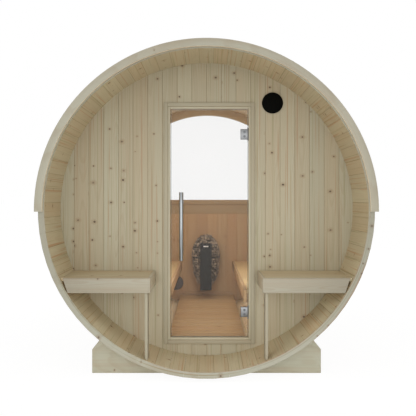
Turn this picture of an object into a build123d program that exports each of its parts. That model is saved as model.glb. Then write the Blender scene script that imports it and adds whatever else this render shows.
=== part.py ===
from build123d import *
import math
import os

# Barrel sauna, in millimetres. X runs across the front, Y from the front to the back, Z up.
# The origin is on the ground under the middle of the barrel.

# Barrel
barrel_radius = 1083
barrel_length = 2500
barrel_clearance = 25.5
stave_count = 68
stave_thickness = 41
stave_gap = 0.4
groove_depth = 10
groove_play = 0.5

# Hoops round the staves
band_width = 40
band_thickness = 1.6
band_play = 0.2
band_setback = 90

# Roof over the upper half
roof_board_thickness = 15
roof_play = 2.5
fascia_stand_out = 20
fascia_cover = 31
fascia_thickness = 20
fascia_drop = 9
fascia_boards = 5

# Cradles
cradle_horn_angle = 39.4
cradle_shoulder_width = 89
cradle_shoulder_drop = 111
cradle_thickness = 45
cradle_setback = 210
cradle_play = 0.3

# End walls
wall_thickness = 40
porch_depth = 415
back_overhang = 60

# Door frame, its middle a little right of the barrel's
door_middle_x = 20
frame_width = 647
wall_over_door = 281
frame_stand_out = 10
casing_width = 28
lip_width = 15
lip_setback = 9

# Glass door
door_gap = 5
door_glass_thickness = 8
hinge_axis_inset = 6
hinge_plate_width = 49
hinge_plate_height = 69
hinge_plate_thickness = 5
hinge_end_distance = 182
hinge_knuckle_radius = 5
hinge_knuckle_length = 10
hinge_knuckle_gap = 1
hinge_pin_radius = 2.5
hinge_pin_play = 0.4
hinge_leaf_thickness = 2
hinge_leaf_width = 35
handle_edge_distance = 82
handle_middle_height = 816
handle_length = 482
handle_radius = 15
handle_stand_off = 45
handle_post_radius = 8
handle_post_inset = 70
handle_cap_radius = 14
handle_cap_thickness = 6
handle_bolt_radius = 5

# Air vents
vent_front_angle = 58.2
vent_front_edge_distance = 150
vent_back_angle = 248.1
vent_back_edge_distance = 171
vent_radius = 75
vent_pipe_radius = 60
vent_pipe_wall = 4
vent_flange = 8
vent_disc_radius = 66
vent_disc_thickness = 10
vent_disc_gap = 6
vent_spider_width = 10
vent_spider_thickness = 8
vent_stem_radius = 10

# Half-moon window in the back wall
window_rise = 68
window_arch_width = 81
window_glass_thickness = 12
sill_height = 49
sill_stand_out = 8
rail_height = 99

# Floor
floor_height = 105
floor_under_bench = 12
slat_count = 20
slat_gap = 6
slat_thickness = 22
joist_width = 40
joist_inset = 60

# Benches inside
bench_height = 357
bench_past_frame = 54.5
bench_front_height = 91
bench_front_thickness = 20
bench_slat_thickness = 26
bench_slat_width = 150
bench_slat_gap = 5
bench_bearer_thickness = 28

# Porch benches
porch_seat_height = 500
porch_bench_from_frame = 38.5
porch_bench_height = 95
porch_bench_board = 18
porch_slat_thickness = 22
porch_slat_count = 4
porch_slat_gap = 5
porch_front_gap = 3
porch_front_top_gap = 22
porch_leg_depth = 95
porch_cleat_width = 20
porch_cleat_height = 30

# Heater on the back wall
heater_x = -11
stones_widest_height = 434
stones_half_width = 145
stones_rise = 216
stones_drop = 340
stones_flat_end = 4
stones_steps = 14
column_width = 115
column_depth = 96
column_bottom_height = 95
column_length = 463
column_front_reach = 308
bracket_width = 160
bracket_middle_height = 372
bracket_height = 300
bracket_depth = 60
stones_wall_gap = 14
heater_play = 0.5

# Worked out from the sizes above
fit = 0.3
axis_z = barrel_clearance + barrel_radius
inner_radius = barrel_radius - stave_thickness
bore_radius = inner_radius - fit
wall_radius = inner_radius + groove_depth - fit
stave_pitch = 360 / stave_count
front_y = -barrel_length / 2
back_y = barrel_length / 2
front_wall_y = front_y + porch_depth
room_front_y = front_wall_y + wall_thickness
back_wall_y = back_y - back_overhang
room_back_y = back_wall_y - wall_thickness
floor_z = axis_z - inner_radius + floor_height
frame_left_x = door_middle_x - frame_width / 2
frame_right_x = door_middle_x + frame_width / 2
frame_bottom_z = floor_z - slat_thickness
frame_top_z = axis_z + inner_radius - wall_over_door
frame_front_y = front_wall_y - frame_stand_out
frame_back_y = room_front_y
frame_side = casing_width + lip_width
lip_y = frame_front_y + lip_setback
door_left_x = frame_left_x + frame_side
door_right_x = frame_right_x - frame_side
door_bottom_z = frame_bottom_z + frame_side
door_top_z = frame_top_z - frame_side
hinge_x = door_right_x - hinge_axis_inset
glass_y = lip_y + hinge_axis_inset
glass_back_y = glass_y + door_glass_thickness
hinge_heights = (door_bottom_z + hinge_end_distance, door_top_z - hinge_end_distance)
handle_x = door_left_x + handle_edge_distance
handle_bottom_z = floor_z + handle_middle_height - handle_length / 2
window_radius = inner_radius - window_arch_width
window_bottom_z = axis_z + window_rise
sill_bottom_z = window_bottom_z - sill_height
rail_bottom_z = sill_bottom_z - rail_height
bench_z = floor_z + bench_height
bench_inner_x = frame_width / 2 - bench_past_frame
porch_bench_z = floor_z + porch_seat_height
porch_bench_inner_x = frame_width / 2 + porch_bench_from_frame
heater_front_y = room_back_y - column_front_reach
stones_y = room_back_y - stones_wall_gap - stones_half_width
stones_widest_z = floor_z + stones_widest_height
bracket_bottom_z = floor_z + bracket_middle_height - bracket_height / 2
column_bottom_z = floor_z + column_bottom_height
column_top_z = column_bottom_z + column_length


# Shapes used all over

def block(x_from, x_to, y_from, y_to, z_from, z_to):
    size = Box(x_to - x_from, y_to - y_from, z_to - z_from, align=Align.MIN)
    return Pos(x_from, y_from, z_from) * size


def slab(outline, y_from, y_to):
    # An outline drawn in X and Z, given its thickness along Y.
    return extrude(Plane.XZ.offset(-y_to) * outline, y_to - y_from)


def disc(radius, y_from, y_to):
    return slab(Pos(0, axis_z) * Circle(radius), y_from, y_to)


def rod_y(radius, x, z, y_from, y_to):
    return slab(Pos(x, z) * Circle(radius), y_from, y_to)


def rod_z(radius, x, y, z_from, z_to):
    return Pos(x, y, z_from) * extrude(Circle(radius), z_to - z_from)


def side_block(side, x_near, x_far, y_from, y_to, z_from, z_to):
    # A block on the left for side -1 and on the right for side 1, with X counted outwards.
    ends = sorted((side * x_near, side * x_far))
    return block(ends[0], ends[1], y_from, y_to, z_from, z_to)


def half_width_at(z):
    # How far the staves' inner faces are from the middle at a height.
    return math.sqrt(bore_radius**2 - (axis_z - z)**2)


def inside_barrel(shape):
    # What is left of a shape within the staves.
    return shape & disc(bore_radius, front_y, back_y)


def save(name, *solids):
    shape = solids[0] if len(solids) == 1 else Compound(list(solids))
    export_step(shape, f"parts/{name}.step")


# Barrel shell

def board_round_barrel(face_distance, thickness, y_from, y_to):
    # One flat board of the ring, at the right-hand side of the barrel.
    half_angle = math.radians(stave_pitch / 2)
    outer_distance = face_distance + thickness
    inner_half = face_distance * math.tan(half_angle) - stave_gap / 2
    outer_half = outer_distance * math.tan(half_angle) - stave_gap / 2
    section = Polygon(
        (face_distance, -inner_half),
        (outer_distance, -outer_half),
        (outer_distance, outer_half),
        (face_distance, inner_half),
        align=None,
    )
    return slab(section, y_from, y_to)


def round_barrel(shape, angle):
    # Angles count from the right-hand side, upwards past the top.
    return Pos(0, 0, axis_z) * Rot(0, -angle, 0) * shape


def stave():
    flat_radius = barrel_radius * math.cos(math.radians(stave_pitch / 2))
    board = board_round_barrel(inner_radius, flat_radius - inner_radius, front_y, back_y)
    for wall_from in (front_wall_y, room_back_y):
        board -= block(
            inner_radius - 1, inner_radius + groove_depth,
            wall_from - groove_play, wall_from + wall_thickness + groove_play,
            -stave_thickness * 2, stave_thickness * 2,
        )
    return board


def save_staves():
    board = stave()
    groups = {
        "staves_right": (-4, 5),
        "staves_upper_right": (5, 13),
        "staves_top": (13, 22),
        "staves_upper_left": (22, 30),
        "staves_left": (30, 39),
        "staves_lower_left": (39, 47),
        "staves_bottom": (47, 56),
        "staves_lower_right": (56, 64),
    }
    for name, (first, last) in groups.items():
        save(name, *[round_barrel(board, number * stave_pitch) for number in range(first, last)])


def save_bands():
    hoop_radius = barrel_radius + band_play
    hoops = []
    for place in (front_y + band_setback, 0, back_y - band_setback):
        low = place - band_width / 2
        high = place + band_width / 2
        hoops.append(disc(hoop_radius + band_thickness, low, high) - disc(hoop_radius, low, high))
    save("barrel_bands", *hoops)


# Roof

def save_roof():
    board = board_round_barrel(barrel_radius + roof_play, roof_board_thickness, front_y, back_y)
    groups = {"roof_right": (0, 11), "roof_top": (11, 23), "roof_left": (23, 34)}
    for name, (first, last) in groups.items():
        save(name, *[round_barrel(board, (number + 0.5) * stave_pitch) for number in range(first, last)])


def fascia(y_from):
    # A curved trim board in lengths, cut level a little below the barrel's middle.
    outer_radius = barrel_radius + fascia_stand_out
    inner_edge = barrel_radius - fascia_cover
    arch = Pos(0, axis_z) * (Circle(outer_radius) - Circle(inner_edge))
    reach = 3 * barrel_radius
    arch &= Pos(0, axis_z - fascia_drop + reach) * Rectangle(2 * reach, 2 * reach)
    for number in range(1, fascia_boards):
        angle = 180 * number / fascia_boards
        saw_cut = Pos(0, axis_z) * Rot(0, 0, angle) * Pos(barrel_radius, 0) * Rectangle(200, stave_gap)
        arch -= saw_cut
    return slab(arch, y_from, y_from + fascia_thickness)


def save_fascias():
    save("fascia_front", *fascia(front_y - fascia_thickness).solids())
    save("fascia_back", *fascia(back_y).solids())


# Cradles

def cradle(y_from):
    rest_radius = barrel_radius + cradle_play
    horn_x = rest_radius * math.sin(math.radians(cradle_horn_angle))
    horn_z = axis_z - rest_radius * math.cos(math.radians(cradle_horn_angle))
    shoulder_x = horn_x + cradle_shoulder_width
    shoulder_z = horn_z - cradle_shoulder_drop
    outline = Polygon(
        (-shoulder_x, 0),
        (shoulder_x, 0),
        (shoulder_x, shoulder_z),
        (horn_x, horn_z),
        (-horn_x, horn_z),
        (-shoulder_x, shoulder_z),
        align=None,
    )
    outline -= Pos(0, axis_z) * Circle(rest_radius)
    return slab(outline, y_from, y_from + cradle_thickness)


def save_cradles():
    save("cradle_front", cradle(front_y + cradle_setback))
    save("cradle_back", cradle(back_y - cradle_setback - cradle_thickness))


# Front wall, in four pieces round the door

def save_front_wall():
    wall = disc(wall_radius, front_wall_y, room_front_y)
    wall -= rod_y(vent_pipe_radius, *vent_front_place(), front_wall_y, room_front_y)
    far = 2 * barrel_radius
    pieces = {
        "front_wall_left": (-far, frame_left_x, 0, far * 2),
        "front_wall_right": (frame_right_x, far, 0, far * 2),
        "front_wall_top": (frame_left_x, frame_right_x, frame_top_z, far * 2),
        "front_wall_bottom": (frame_left_x, frame_right_x, 0, frame_bottom_z),
    }
    for name, (x_from, x_to, z_from, z_to) in pieces.items():
        save(name, wall & block(x_from, x_to, front_wall_y, room_front_y, z_from, z_to))


# Door frame: an outer casing and a lip set back inside it

def save_door_frame():
    jambs = []
    for outer_x, inward in ((frame_left_x, 1), (frame_right_x, -1)):
        casing_x = outer_x + inward * casing_width
        opening_x = outer_x + inward * frame_side
        outer = sorted((outer_x, casing_x))
        whole = sorted((outer_x, opening_x))
        casing = block(*outer, frame_front_y, lip_y, frame_bottom_z, frame_top_z)
        lip = block(*whole, lip_y, frame_back_y, frame_bottom_z, frame_top_z)
        jambs.append(casing + lip)
    save("door_jambs", *jambs)

    casing_left_x = frame_left_x + casing_width
    casing_right_x = frame_right_x - casing_width
    head = block(casing_left_x, casing_right_x, frame_front_y, lip_y, frame_top_z - casing_width, frame_top_z)
    head += block(door_left_x, door_right_x, lip_y, frame_back_y, door_top_z, frame_top_z)
    save("door_head", head)
    sill_top_z = frame_bottom_z + casing_width
    sill = block(casing_left_x, casing_right_x, frame_front_y, lip_y, frame_bottom_z, sill_top_z)
    sill += block(door_left_x, door_right_x, lip_y, frame_back_y, frame_bottom_z, door_bottom_z)
    save("door_sill", sill)


# Glass door, its handle and hinges

def handle_heights():
    return handle_bottom_z + handle_post_inset, handle_bottom_z + handle_length - handle_post_inset


def save_door_glass():
    pane = block(
        door_left_x + door_gap, door_right_x - door_gap, glass_y, glass_back_y,
        door_bottom_z + door_gap, door_top_z - door_gap,
    )
    for z in handle_heights():
        pane -= rod_y(handle_bolt_radius + fit, handle_x, z, glass_y, glass_back_y)
    save("door_glass", pane)


def save_door_handle():
    grip_y = glass_y - handle_stand_off - handle_radius
    handle = rod_z(handle_radius, handle_x, grip_y, handle_bottom_z, handle_bottom_z + handle_length)
    for z in handle_heights():
        handle += rod_y(handle_post_radius, handle_x, z, grip_y, glass_y)
        handle += rod_y(handle_bolt_radius, handle_x, z, grip_y, glass_back_y)
        handle += rod_y(handle_cap_radius, handle_x, z, glass_back_y, glass_back_y + handle_cap_thickness)
    save("door_handle", handle)


def hinge_clamp(z):
    # Two plates either side of the glass, and the knuckle that turns on the pin.
    half = hinge_plate_height / 2
    plate_right_x = hinge_x - fit
    plate_left_x = plate_right_x - hinge_plate_width
    outer = block(plate_left_x, plate_right_x, glass_y - hinge_plate_thickness, glass_y, z - half, z + half)
    inner = block(
        plate_left_x, plate_right_x, glass_back_y, glass_back_y + hinge_plate_thickness, z - half, z + half,
    )
    knuckle = rod_z(hinge_knuckle_radius, hinge_x, lip_y, z - half, z + half)
    pin_hole = rod_z(hinge_pin_radius + hinge_pin_play, hinge_x, lip_y, z - half, z + half)
    tongue = block(hinge_x - hinge_knuckle_radius, hinge_x, lip_y, glass_y, z - half, z + half)
    return outer + tongue + knuckle - pin_hole, inner


def hinge_bracket(z):
    # A leaf on the side of the jamb, an ear above and below, and the pin between them.
    half = hinge_plate_height / 2 + hinge_knuckle_gap
    end = half + hinge_knuckle_length
    leaf_x = door_right_x - hinge_leaf_thickness
    leaf_y = lip_y + hinge_knuckle_radius + hinge_knuckle_gap
    bracket = block(leaf_x, door_right_x, leaf_y, lip_y + hinge_leaf_width, z - end, z + end)
    for low in (z - end, z + half):
        high = low + hinge_knuckle_length
        bracket += block(hinge_x, door_right_x, lip_y, lip_y + hinge_knuckle_radius, low, high)
        bracket += block(leaf_x, door_right_x, lip_y, leaf_y, low, high)
        bracket += rod_z(hinge_knuckle_radius, hinge_x, lip_y, low, high)
    bracket += rod_z(hinge_pin_radius, hinge_x, lip_y, z - end, z + end)
    return bracket


def save_hinges():
    clamps = []
    for z in hinge_heights:
        clamps.extend(hinge_clamp(z))
    save("hinge_clamps", *clamps)
    save("hinge_brackets", *[hinge_bracket(z) for z in hinge_heights])


# Air vents: a pipe through the wall, a flange and a valve disc in front of it

def vent_place(angle, edge_distance):
    # Where a vent's middle is, from its angle round the barrel and its distance from the staves.
    reach = inner_radius - edge_distance
    turn = math.radians(angle)
    return reach * math.cos(turn), axis_z + reach * math.sin(turn)


def vent_front_place():
    return vent_place(vent_front_angle, vent_front_edge_distance)


def vent_back_place():
    return vent_place(vent_back_angle, vent_back_edge_distance)


def vent(x, z, wall_from):
    wall_to = wall_from + wall_thickness
    flange_front = wall_from - vent_flange
    disc_back = flange_front - vent_disc_gap
    hole_radius = vent_pipe_radius - vent_pipe_wall
    body = rod_y(vent_pipe_radius - fit, x, z, wall_from, wall_to)
    body += rod_y(vent_radius, x, z, flange_front, wall_from)
    body += rod_y(vent_radius, x, z, wall_to, wall_to + vent_flange)
    body -= rod_y(hole_radius, x, z, flange_front, wall_to + vent_flange)
    reach = hole_radius + vent_pipe_wall / 2
    high = vent_spider_width / 2
    body += block(x - reach, x + reach, wall_from, wall_from + vent_spider_thickness, z - high, z + high)
    body += rod_y(vent_stem_radius, x, z, disc_back - vent_disc_thickness, wall_from + vent_spider_thickness)
    body += rod_y(vent_disc_radius, x, z, disc_back - vent_disc_thickness, disc_back)
    return body


def save_vents():
    save("vent_front", vent(*vent_front_place(), front_wall_y))
    save("vent_back", vent(*vent_back_place(), room_back_y))


# Back wall and its half-moon window

def save_back_wall():
    disc_whole = disc(wall_radius, room_back_y, back_wall_y)
    far = 2 * barrel_radius
    lower = disc_whole & block(-far, far, room_back_y, back_wall_y, 0, rail_bottom_z)
    lower -= rod_y(vent_pipe_radius, *vent_back_place(), room_back_y, back_wall_y)
    save("back_wall", lower)
    save("back_rail", disc_whole & block(-far, far, room_back_y, back_wall_y, rail_bottom_z, sill_bottom_z))

    sill = disc_whole & block(-far, far, room_back_y, back_wall_y, sill_bottom_z, window_bottom_z)
    nosing = block(
        -window_radius, window_radius, room_back_y - sill_stand_out, back_wall_y + sill_stand_out,
        sill_bottom_z, window_bottom_z,
    )
    save("window_sill", sill + nosing)

    opening = disc(window_radius, room_back_y, back_wall_y)
    upper = block(-far, far, room_back_y, back_wall_y, window_bottom_z, far * 2)
    save("window_arch", (disc_whole - opening) & upper)
    glass_from = (room_back_y + back_wall_y - window_glass_thickness) / 2
    pane = disc(window_radius - fit, glass_from, glass_from + window_glass_thickness)
    save("window_glass", pane & upper)


# Floor

def save_floor():
    pitch = (room_back_y - room_front_y - slat_gap) / slat_count
    half = bench_inner_x + floor_under_bench
    under = floor_z - slat_thickness
    slats = []
    for number in range(slat_count):
        low = room_front_y + slat_gap + number * pitch
        slats.append(block(-half, half, low, low + pitch - slat_gap, under, floor_z))
    save("floor_slats", *slats)

    joists = []
    for middle in (joist_inset - half, 0, half - joist_inset):
        joist = block(
            middle - joist_width / 2, middle + joist_width / 2, room_front_y + fit, room_back_y - fit, 0, under,
        )
        joists.append(inside_barrel(joist))
    save("floor_joists", *joists)


# Benches inside, along both sides

def bench_slats(side):
    first_x = bench_inner_x + bench_front_thickness + fit
    under = bench_z - bench_slat_thickness
    widest = half_width_at(bench_z)
    slats = []
    x = first_x
    while x < widest - bench_slat_width / 2:
        far = min(x + bench_slat_width, widest + 1)
        slat = side_block(side, x, far, room_front_y + fit, room_back_y - fit, under, bench_z)
        slats.append(inside_barrel(slat))
        x += bench_slat_width + bench_slat_gap
    return slats


def save_benches():
    save("bench_seat_left", *bench_slats(-1))
    save("bench_seat_right", *bench_slats(1))
    fronts = []
    bearers = []
    low = bench_z - bench_front_height
    inner = bench_inner_x + bench_front_thickness
    half = bench_bearer_thickness / 2
    middle_y = (room_front_y + room_back_y) / 2
    places = (room_front_y + fit + half, middle_y, room_back_y - fit - half)
    for side in (-1, 1):
        fronts.append(side_block(
            side, bench_inner_x, inner, room_front_y + fit, room_back_y - fit, low, bench_z,
        ))
        for place in places:
            bearer = side_block(
                side, inner + fit, barrel_radius, place - half, place + half, low, bench_z - bench_slat_thickness,
            )
            bearers.append(inside_barrel(bearer))
    save("bench_fronts", *fronts)
    save("bench_bearers", *bearers)


# Porch benches: slats across, a front board, an end board and a leg

def porch_slats(side):
    front = front_y + porch_bench_board + fit
    room = front_wall_y - fit - front
    width = (room - (porch_slat_count - 1) * porch_slat_gap) / porch_slat_count
    near = porch_bench_inner_x + porch_bench_board + fit
    under = porch_bench_z - porch_slat_thickness
    slats = []
    for number in range(porch_slat_count):
        low = front + number * (width + porch_slat_gap)
        slat = side_block(side, near, barrel_radius, low, low + width, under, porch_bench_z)
        slats.append(inside_barrel(slat))
    return slats


def porch_front():
    low = porch_bench_z - porch_bench_height
    outline = Polygon(
        (porch_bench_inner_x, low),
        (half_width_at(low) - porch_front_gap, low),
        (half_width_at(porch_bench_z) - porch_front_top_gap, porch_bench_z),
        (porch_bench_inner_x, porch_bench_z),
        align=None,
    )
    return slab(outline, front_y, front_y + porch_bench_board)


def porch_end(side):
    low = porch_bench_z - porch_bench_height
    back = front_wall_y - fit
    inner = porch_bench_inner_x
    board = side_block(side, inner, inner + porch_bench_board, front_y + porch_bench_board, back, low, porch_bench_z)
    under = porch_bench_z - porch_slat_thickness
    cleat_front = front_y + porch_bench_board + porch_leg_depth + fit
    near = inner + porch_bench_board
    cleat = side_block(side, near, near + porch_cleat_width, cleat_front, back, under - porch_cleat_height, under)
    return board + cleat


def porch_leg(side):
    near = porch_bench_inner_x + porch_bench_board + fit
    front = front_y + porch_bench_board + fit
    top = porch_bench_z - porch_slat_thickness
    leg = side_block(side, near, near + porch_bench_board, front, front + porch_leg_depth - fit, 0, top)
    return inside_barrel(leg)


def save_porch_benches():
    save("porch_seat_left", *porch_slats(-1))
    save("porch_seat_right", *porch_slats(1))
    save("porch_fronts", porch_front(), mirror(porch_front(), about=Plane.YZ))
    save("porch_ends", porch_end(-1), porch_end(1))
    save("porch_legs", porch_leg(-1), porch_leg(1))


# Heater: an egg-shaped heap of stones on a wall bracket, a narrow housing up its front

def heater_column():
    half = column_width / 2
    return block(
        heater_x - half, heater_x + half, heater_front_y, heater_front_y + column_depth,
        column_bottom_z, column_top_z,
    )


def egg_outline():
    # Half an ellipse down from the widest level and half of another up from it, both cut flat at their ends.
    points = []
    for height, side in ((stones_drop, -1), (stones_rise, 1)):
        end = math.asin(1 - stones_flat_end / height)
        for step in range(stones_steps + 1):
            turn = end * step / stones_steps
            points.append((stones_half_width * math.cos(turn), side * height * math.sin(turn)))
    points = sorted(set(points), key=lambda point: point[1])
    curve = Spline(*points)
    ends = Polyline(points[-1], (0, points[-1][1]), (0, points[0][1]), points[0])
    return make_face([curve, *ends.edges()])


def heater_stones():
    egg = revolve(Plane.XZ * egg_outline(), Axis.Z)
    egg = Pos(heater_x, stones_y, stones_widest_z) * egg
    half = column_width / 2 + heater_play
    front_notch = block(
        heater_x - half, heater_x + half, front_y, heater_front_y + column_depth + heater_play,
        0, column_top_z + heater_play,
    )
    half = bracket_width / 2 + heater_play
    back_notch = block(
        heater_x - half, heater_x + half, room_back_y - bracket_depth - heater_play, room_back_y,
        bracket_bottom_z - heater_play, bracket_bottom_z + bracket_height + heater_play,
    )
    return egg - (front_notch + back_notch)


def heater_bracket():
    half = bracket_width / 2
    return block(
        heater_x - half, heater_x + half, room_back_y - bracket_depth, room_back_y,
        bracket_bottom_z, bracket_bottom_z + bracket_height,
    )


def save_heater():
    save("heater_column", heater_column())
    save("heater_stones", heater_stones())
    save("heater_bracket", heater_bracket())


os.makedirs("parts", exist_ok=True)
save_staves()
save_bands()
save_roof()
save_fascias()
save_cradles()
save_front_wall()
save_door_frame()
save_door_glass()
save_door_handle()
save_hinges()
save_vents()
save_back_wall()
save_floor()
save_benches()
save_porch_benches()
save_heater()
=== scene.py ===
import math
import random

import bpy
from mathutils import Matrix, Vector


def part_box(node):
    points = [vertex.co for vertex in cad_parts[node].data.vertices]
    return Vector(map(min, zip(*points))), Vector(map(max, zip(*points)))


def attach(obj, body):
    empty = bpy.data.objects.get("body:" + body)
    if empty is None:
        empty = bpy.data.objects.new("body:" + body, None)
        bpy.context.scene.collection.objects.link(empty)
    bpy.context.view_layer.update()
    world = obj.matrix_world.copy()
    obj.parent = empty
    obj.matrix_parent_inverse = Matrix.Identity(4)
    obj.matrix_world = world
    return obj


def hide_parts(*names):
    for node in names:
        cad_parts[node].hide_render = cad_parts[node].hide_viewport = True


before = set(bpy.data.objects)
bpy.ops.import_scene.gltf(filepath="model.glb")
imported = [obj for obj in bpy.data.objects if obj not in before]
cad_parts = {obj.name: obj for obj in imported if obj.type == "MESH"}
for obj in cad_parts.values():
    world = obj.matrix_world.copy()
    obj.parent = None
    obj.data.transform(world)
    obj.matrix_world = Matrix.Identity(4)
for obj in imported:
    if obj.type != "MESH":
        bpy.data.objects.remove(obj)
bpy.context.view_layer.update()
print("frame loaded:", len(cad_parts), "parts")

# The barrel's middle line, ring of staves and end walls, in metres, as in the part
barrel = {
    "axisZ": 1.1085,
    "staveTurn": math.radians(360 / 68),
    "arcRadius": 1.06,
    "frontWallY": -0.835,
    "roomFrontY": -0.795,
    "roomBackY": 1.150,
    "backWallY": 1.190,
}

# Camera, sky, ground and lamps
stage = {
    "cameraAt": (0.010, -4.960, 1.1745),
    "lens": 50.0,
    "sensorWidth": 36.0,
    "frameShift": -0.0192,
    "skyStrength": 0.62,
    "lamps": (
        # name, place, what it looks at, side of its square or two sides, watts
        ("frontFill", (-0.5, -9.5, 1.0), (0.0, 0.0, 1.0), 6.0, 170.0),
        ("softKey", (-2.6, -5.5, 4.6), (0.0, 0.0, 1.1), 3.0, 18.0),
        ("porchFill", (0.0, -1.75, 0.85), (0.0, 0.0, 0.85), 1.7, 4.6),
        ("porchLow", (0.0, -1.90, 0.35), (0.0, 0.0, 0.35), 1.2, 1.0),
        ("underLeftSeat", (-0.55, -1.22, 0.47), (-0.60, -0.8, 0.42), (0.30, 0.12), 0.16),
        ("underRightSeat", (0.55, -1.22, 0.47), (0.60, -0.8, 0.42), (0.30, 0.12), 0.16),
        ("roomCeiling", (0.0, 0.15, 1.95), (0.0, 0.25, 0.0), 1.2, 4.0),
        ("roomMiddle", (0.0, -0.1, 1.40), (0.0, 1.0, 1.40), 0.7, 3.4),
        ("roomLow", (0.0, -0.55, 1.00), (0.0, 1.0, 0.30), (0.7, 0.5), 3.2),
        ("roomFoot", (0.0, 0.55, 0.40), (0.0, 1.15, 0.38), (0.5, 0.12), 0.16),
        ("roomUp", (0.0, 0.20, 1.25), (0.0, 0.21, 3.0), 0.8, 2.2),
        ("underLeftBench", (-0.29, 0.15, 0.27), (-1.0, 0.15, 0.20), (1.6, 0.10), 1.5),
        ("underRightBench", (0.29, 0.15, 0.27), (1.0, 0.15, 0.20), (1.6, 0.10), 1.5),
        ("backFill", (2.0, 9.0, 2.0), (0.0, 0.0, 1.1), 5.0, 130.0),
    ),
    "lampsInMirrors": ("frontFill",),
    "groundSize": 400.0,
    "groundWhite": (0.90, 0.90, 0.90, 1.0),
    "groundGlow": 0.88,
    "glowStrength": 1.06,
}


def objectMode():
    bpy.ops.object.mode_set(mode="OBJECT")


def editMode():
    bpy.ops.object.mode_set(mode="EDIT")


def deselectAll():
    if bpy.context.object and bpy.context.object.mode != "OBJECT":
        objectMode()
    bpy.ops.object.select_all(action="DESELECT")


def newObject(name, data):
    made = bpy.data.objects.new(name, data)
    bpy.context.scene.collection.objects.link(made)
    return made


def select(*pieces):
    deselectAll()
    for piece in pieces:
        piece.select_set(True)
    bpy.context.view_layer.objects.active = pieces[0]


def deselectMesh():
    bpy.ops.mesh.select_all(action="DESELECT")


def addNew(primitive, **values):
    deselectAll()
    primitive(**values)
    return bpy.context.object


def node(tree, kind, values=None, **settings):
    made = tree.nodes.new(kind)
    for name, value in settings.items():
        setattr(made, name, value)
    for socket, value in (values or {}).items():
        if isinstance(value, bpy.types.NodeSocket):
            tree.links.new(value, made.inputs[socket])
        else:
            made.inputs[socket].default_value = value
    return made


def maths(tree, operation, first, second=0.0, third=0.0, clamp=False):
    values = {0: first, 1: second, 2: third}
    return node(tree, "ShaderNodeMath", values, operation=operation, use_clamp=clamp).outputs[0]


def times(tree, first, second):
    return maths(tree, "MULTIPLY", first, second)


def timesPlus(tree, first, second, third, clamp=False):
    return maths(tree, "MULTIPLY_ADD", first, second, third, clamp)


def minus(tree, first, second):
    return maths(tree, "SUBTRACT", first, second)


def hypotenuse(tree, first, second):
    return maths(tree, "SQRT", timesPlus(tree, first, first, times(tree, second, second)))


def vectorMaths(tree, operation, first, second):
    return node(tree, "ShaderNodeVectorMath", {0: first, 1: second}, operation=operation).outputs[0]


def combine(tree, x, y, z):
    return node(tree, "ShaderNodeCombineXYZ", {0: x, 1: y, 2: z}).outputs[0]


def split(tree, vector):
    return node(tree, "ShaderNodeSeparateXYZ", {0: vector}).outputs


def objectPlace(tree):
    return node(tree, "ShaderNodeTexCoord").outputs["Object"]


def mixColours(tree, factor, first, second, blend="MIX"):
    values = {0: factor, 6: first, 7: second}
    return node(tree, "ShaderNodeMix", values, data_type="RGBA", blend_type=blend).outputs[2]


def tinted(tree, colour, tint):
    return mixColours(tree, 1.0, colour, tint, "MULTIPLY")


def dimmed(tree, colour, light):
    return tinted(tree, colour, combine(tree, light, light, light))


def rise(tree, value, low, high, toLow=0.0, toHigh=1.0):
    values = {"Value": value, "From Min": low, "From Max": high, "To Min": toLow, "To Max": toHigh}
    return node(tree, "ShaderNodeMapRange", values, interpolation_type="SMOOTHSTEP").outputs[0]


def noise(tree, place, scale, detail=2.0, roughness=0.5):
    values = {"Vector": place, "Scale": scale, "Detail": detail, "Roughness": roughness}
    return node(tree, "ShaderNodeTexNoise", values).outputs[0]


def stretched(tree, place, x, y, z):
    return vectorMaths(tree, "MULTIPLY", place, (x, y, z))


def bump(tree, height, strength, distance):
    values = {"Height": height, "Strength": strength, "Distance": distance}
    return node(tree, "ShaderNodeBump", values).outputs[0]


def seenStraight(tree):
    # 1 to the eye, in mirrors and through glass, 0 for all other light.
    path = node(tree, "ShaderNodeLightPath").outputs
    seen = maths(tree, "MAXIMUM", path["Is Camera Ray"], path["Is Glossy Ray"])
    return maths(tree, "MAXIMUM", seen, path["Is Transmission Ray"])


def newMaterial(name):
    material = bpy.data.materials.new(name)
    material.use_nodes = True
    material.node_tree.nodes.clear()
    return material, material.node_tree


def addShader(tree, values):
    shader = node(tree, "ShaderNodeBsdfPrincipled", values)
    node(tree, "ShaderNodeOutputMaterial", {"Surface": shader.outputs[0]})


def makeCamera():
    view = bpy.data.cameras.new("frontView")
    view.lens = stage["lens"]
    view.sensor_width = stage["sensorWidth"]
    view.shift_y = stage["frameShift"]
    camera = newObject("frontView", view)
    camera.location = stage["cameraAt"]
    camera.rotation_euler = (math.radians(90), 0, 0)
    bpy.context.scene.camera = camera


def makeSky():
    # White where it is seen, and a plain level on the object.
    world = bpy.data.worlds.new("sky")
    bpy.context.scene.world = world
    world.use_nodes = True
    tree = world.node_tree
    tree.nodes.clear()
    light = node(tree, "ShaderNodeBackground", {"Color": (1, 1, 1, 1), "Strength": stage["skyStrength"]})
    white = node(tree, "ShaderNodeBackground", {"Color": (1, 1, 1, 1), "Strength": 1.0})
    values = {0: seenStraight(tree), 1: light.outputs[0], 2: white.outputs[0]}
    mixed = node(tree, "ShaderNodeMixShader", values)
    node(tree, "ShaderNodeOutputWorld", {"Surface": mixed.outputs[0]})


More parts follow.
